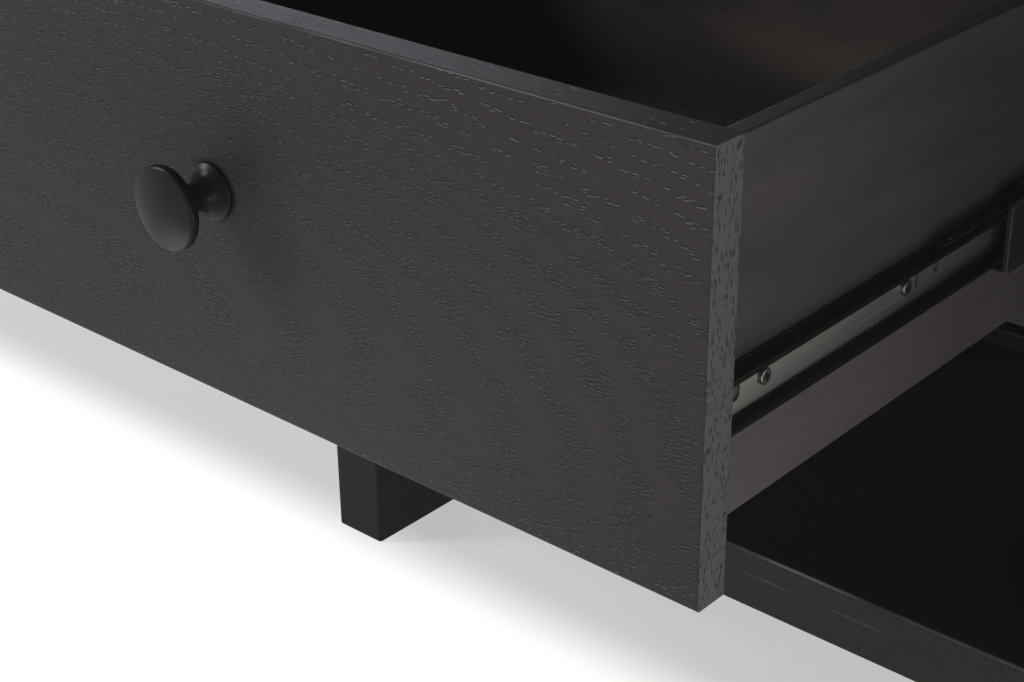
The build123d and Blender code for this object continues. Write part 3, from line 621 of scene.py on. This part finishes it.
# %% [markdown]
# ## Plain finishes
#
# The small parts have quieter surfaces: each is one colour that varies a little, with a grain
# of its own size. One function makes them all from a pair of colours, the size of the mottle,
# the range of the roughness and the depth of the relief. Metal and plastic differ in two
# values on the shader: metallic, and how strongly a bare surface mirrors.

# %% One function for the plain finishes
MOTTLE_DETAIL = 3.0


def plain_finish(name, dark, pale, mottle, rough, relief, metallic=0.0, mirror=0.5):
    """mottle is the size of the pattern along X, Y and Z, and relief its depth, in mm."""
    material, tree, shader, place = new_finish(name)
    noise = sized_noise(tree, place, mottle, MOTTLE_DETAIL)
    share = add(tree, "MapRange", {0: noise, FROM: NOISE_SPREAD})
    colour = add(tree, "Mix", {0: share, COLOURS: (linear(dark), linear(pale))},
                 data_type="RGBA")
    gloss = add(tree, "MapRange", {0: noise, FROM: NOISE_SPREAD, TO: rough})
    bump = add(tree, "Bump", {"Height": noise, "Distance": relief / MM_PER_METRE,
                              "Strength": 1.0})
    fill(tree, shader, {"Base Color": colour, "Roughness": gloss, "Normal": bump,
                        "Metallic": metallic, "Specular IOR Level": mirror})
    return material


print("plain finishes ready")

# %% [markdown]
# ## The knob
#
# The knob is one piece of metal turned on a lathe: a domed disc, a slim neck and a flared base.
# It could keep its CAD mesh, but the fan of thin triangles in the middle of the disc shows as a
# dark fleck in a glossy coat. So the profile is turned again here: a row of points, radius and
# height above the drawer front in millimetres, is spun round the knob's axis. Points lie close
# together at the rounded rims, which keeps the flat parts between them evenly shaded. The last
# point lies on the axis again, so the base is closed.
#
# The coat is satin black powder. Its soft gloss shows the disc as one pale area that darkens
# towards the top, and no sharp mirror image.

# %% Knob
KNOB_PROFILE = [
    (0.0, 28.5), (1.5, 28.48), (3.0, 28.44), (5.0, 28.33), (7.0, 28.16), (9.0, 27.94),
    (11.0, 27.66), (13.0, 27.33), (15.0, 26.93), (16.5, 26.6), (17.3, 26.4), (17.8, 26.2),
    (18.2, 25.9), (18.42, 25.55), (18.5, 25.1), (18.5, 24.2), (18.5, 23.4), (18.4, 22.9),
    (18.15, 22.5), (17.7, 22.15), (17.0, 21.9), (15.5, 21.5), (13.6, 21.05), (12.0, 20.5),
    (10.4, 19.6), (9.0, 18.3), (7.7, 16.4), (6.7, 14.2), (6.15, 12.0), (6.2, 10.0), (6.7, 8.0),
    (7.6, 6.1), (8.9, 4.5), (10.4, 3.3), (11.7, 2.5), (12.5, 2.15), (12.8, 1.95), (12.95, 1.7),
    (13.0, 1.4), (13.0, 0.7), (13.0, 0.0), (0.0, 0.0)]
KNOB_STEPS = 96
WELD_DISTANCE = 1e-6


def turned_knob(name, low, high):
    """Spin the knob's profile round an axis along Y, with its base on the drawer front."""
    form = bmesh.new()
    points = [form.verts.new((radius / MM_PER_METRE, -out / MM_PER_METRE, 0.0))
              for radius, out in KNOB_PROFILE]
    lines = [form.edges.new(pair) for pair in zip(points, points[1:])]
    bmesh.ops.spin(form, geom=points + lines, cent=(0, 0, 0), axis=(0, 1, 0),
                   angle=2 * math.pi, steps=KNOB_STEPS)
    bmesh.ops.remove_doubles(form, verts=form.verts, dist=WELD_DISTANCE)
    bmesh.ops.recalc_face_normals(form, faces=form.faces)
    for face in form.faces:
        face.smooth = True
    mesh = bpy.data.meshes.new(name)
    form.to_mesh(mesh)
    form.free()
    knob = bpy.data.objects.new(name, mesh)
    bpy.context.scene.collection.objects.link(knob)
    knob.location = ((low[0] + high[0]) / 2, high[1], (low[2] + high[2]) / 2)
    return knob


knob_coat = plain_finish("satin_black_powder_coat_on_metal", "121212", "161616",
                         mottle=(0.9, 0.9, 0.9), rough=(0.28, 0.34), relief=0.0005,
                         mirror=0.062)
dress(knob_coat, *of_drawers("knob"))
for drawer in DRAWERS:
    knob = turned_knob(drawer + "_turned_knob", *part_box(drawer + "_knob"))
    knob.data.materials.append(knob_coat)
    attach(knob, drawer)
    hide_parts(drawer + "_knob")
    print(knob.name, "with", len(knob.data.polygons), "faces")

# %% [markdown]
# ## Slides
#
# The rails are rolled steel strip, and rolling leaves faint lines along the rail. The drawer's
# own rail is the one that shows: its flat web mirrors the bright room softly, while its flanges,
# where the balls run, lie in shade, which is painted into their colour as a dark tone. Web and
# flanges could be split into two materials, but the rail is one strip, so one finish paints the
# shade darker with the distance from the web. That distance is measured across the rail's own
# box, because left and right rails face opposite ways.

# %% Drawer rails: a pale web between flanges in painted shade
ROLLING = (0.6, 60.0, 0.6)
ROLLED_ROUGHNESS = (0.38, 0.44)
STEEL_TONES, FLANGE_SHADE_TONE = ("8c8985", "979490"), "1d1c1a"
# The flanges' dark tone is painted shade; the next range runs from the web to that painted
# shade.
FLANGE = (0.16, 0.24)  # from the clean web to the greased flange, as a share of the width


def drawer_rail_steel(name, web_side):
    """web_side is 0 where the web is on the rail's low X side, and 1 on the high side."""
    material, tree, shader, place = new_finish(name)
    lines = sized_noise(tree, place, ROLLING, MOTTLE_DETAIL)
    steel = add(tree, "Mix", {0: lines, COLOURS: [linear(tone) for tone in STEEL_TONES]},
                data_type="RGBA")
    box = add(tree, "TexCoord").outputs["Generated"]
    across = add(tree, "SeparateXYZ", {0: box}).outputs[0]
    from_web = add(tree, "Math", {0: across, 1: web_side}, operation="SUBTRACT")
    distance = add(tree, "Math", {0: from_web}, operation="ABSOLUTE")
    painted_flange_shade = add(tree, "MapRange", {0: distance, FROM: FLANGE})
    colour = add(tree, "Mix", {0: painted_flange_shade, COLOURS: (steel, linear(FLANGE_SHADE_TONE))},
                 data_type="RGBA")
    gloss = add(tree, "MapRange", {0: lines, FROM: NOISE_SPREAD, TO: ROLLED_ROUGHNESS})
    fill(tree, shader, {"Base Color": colour, "Roughness": gloss, "Metallic": 1.0})
    return material


dress(drawer_rail_steel("rolled_steel_right_rail_with_painted_shade", web_side=0.0),
      *of_drawers("right_inner_rail"))
dress(drawer_rail_steel("rolled_steel_left_rail_with_painted_shade", web_side=1.0),
      *of_drawers("left_inner_rail"))

# %% [markdown]
# ## The other parts of the slides
#
# The middle and outer rails are the same strip under a thin coat, through which the metal still
# mirrors. They lie in the dark between drawer and carcass, so the eye sees them nearly black.
# The strips that hold the balls are yellow-passivated, a dull brass tone. The middle rail ends
# in a moulded plastic piece. Plain finishes are enough for all of these.

# %% Other rails, ball strips and end pieces
rail_coat = plain_finish("thin_black_coat_on_rolled_steel", "7b766e", "86807a",
                         mottle=ROLLING, rough=ROLLED_ROUGHNESS, relief=0.002, metallic=1.0)
dress(rail_coat, *of_drawers("left_middle_rail", "right_middle_rail",
                             "left_outer_rail", "right_outer_rail"))

strip_metal = plain_finish("yellow_passivated_strip_steel", "3a3220", "4a4029",
                           mottle=(2.0, 12.0, 2.0), rough=(0.34, 0.44), relief=0.003,
                           metallic=1.0)
dress(strip_metal, *of_drawers("inner_ball_cages", "outer_ball_cages"))

end_plastic = plain_finish("dark_grey_moulded_plastic", "141414", "1b1b1b",
                           mottle=(0.5, 0.5, 0.5), rough=(0.36, 0.46), relief=0.006,
                           mirror=0.12)
dress(end_plastic, *of_drawers("middle_rail_ends"))

# %% [markdown]
# ## Feet, bottoms and back
#
# The feet are solid wood, planed smooth before staining, so they show no pores, only a faint
# upright grain. The drawer bottoms and the back are thin fibreboard. Film and paint leave them
# even and slightly mottled, like an eggshell. All of these are plain finishes with a grain of
# the right size.

# %% Feet, bottoms and back
foot_wood = plain_finish("black_stained_planed_foot_wood", "1c1a1a", "201e1e",
                         mottle=(1.2, 1.2, 40.0), rough=(0.5, 0.58), relief=0.01, mirror=0.06)
dress(foot_wood, "front_left_foot", "front_right_foot", "rear_left_foot", "rear_right_foot")

bottom_board = plain_finish("brown_black_film_on_fibreboard", "2a2826", "32302e",
                            mottle=(1.6, 1.6, 1.6), rough=(0.42, 0.5), relief=0.01, mirror=0.15)
dress(bottom_board, *of_drawers("bottom"))

back_board = plain_finish("black_painted_fibreboard", "1e1c1b", "252321",
                          mottle=(1.6, 1.6, 1.6), rough=(0.5, 0.6), relief=0.01, mirror=0.1)
dress(back_board, "back_panel")

# %% [markdown]
# ## Screws and other fittings
#
# Most of these are hidden in a finished table, but they show when it is taken apart or seen
# from below or behind. The steel screws are blackened, and those on the drawer's rail are
# zinc-plated and dull. Cams are cast zinc, pale grey and a little grainy. Dowels are turned
# beech, the one light wood here, and the blocks behind the feet are sawn and rough under their
# stain. Glides are waxy plastic, and the bumpers are dull rubber.

# %% Screws and metal fittings
screw_coat = plain_finish("black_oxide_screw_steel", "2a2a2a", "343434",
                          mottle=(0.7, 0.7, 0.7), rough=(0.3, 0.42), relief=0.004, metallic=0.8)
dress(screw_coat, "outer_rail_screws", "back_panel_screws", "foot_bolts",
      *of_drawers("front_screws"))

rail_screw_steel = plain_finish("dull_zinc_plated_screw_steel", "4c4a47", "5b5955",
                                mottle=(0.7, 0.7, 0.7), rough=(0.34, 0.44), relief=0.004,
                                metallic=1.0)
dress(rail_screw_steel, *of_drawers("inner_rail_screws"))

cam_metal = plain_finish("die_cast_zinc", "8c8d8f", "a3a4a6",
                         mottle=(1.2, 1.2, 1.2), rough=(0.38, 0.5), relief=0.02, metallic=1.0)
dress(cam_metal, "cam_locks", "cam_bolts")

# %% Wooden, plastic and rubber fittings
dowel_wood = plain_finish("turned_beech_dowel", "b08a5e", "c9a273",
                          mottle=(3.0, 1.0, 1.0), rough=(0.5, 0.6), relief=0.02)
dress(dowel_wood, "carcass_dowels")

block_wood = plain_finish("sawn_softwood_block_stained_black", "1d1a18", "2b2724",
                          mottle=(18.0, 1.2, 1.2), rough=(0.6, 0.7), relief=0.08)
dress(block_wood, "foot_blocks")

glide_plastic = plain_finish("black_moulded_polyethylene", "161616", "1d1d1d",
                             mottle=(0.8, 0.8, 0.8), rough=(0.45, 0.55), relief=0.01)
dress(glide_plastic, "foot_glides")

bumper_rubber = plain_finish("grey_moulded_rubber", "39393a", "444445",
                             mottle=(0.6, 0.6, 0.6), rough=(0.6, 0.7), relief=0.01)
dress(bumper_rubber, "drawer_bumpers")
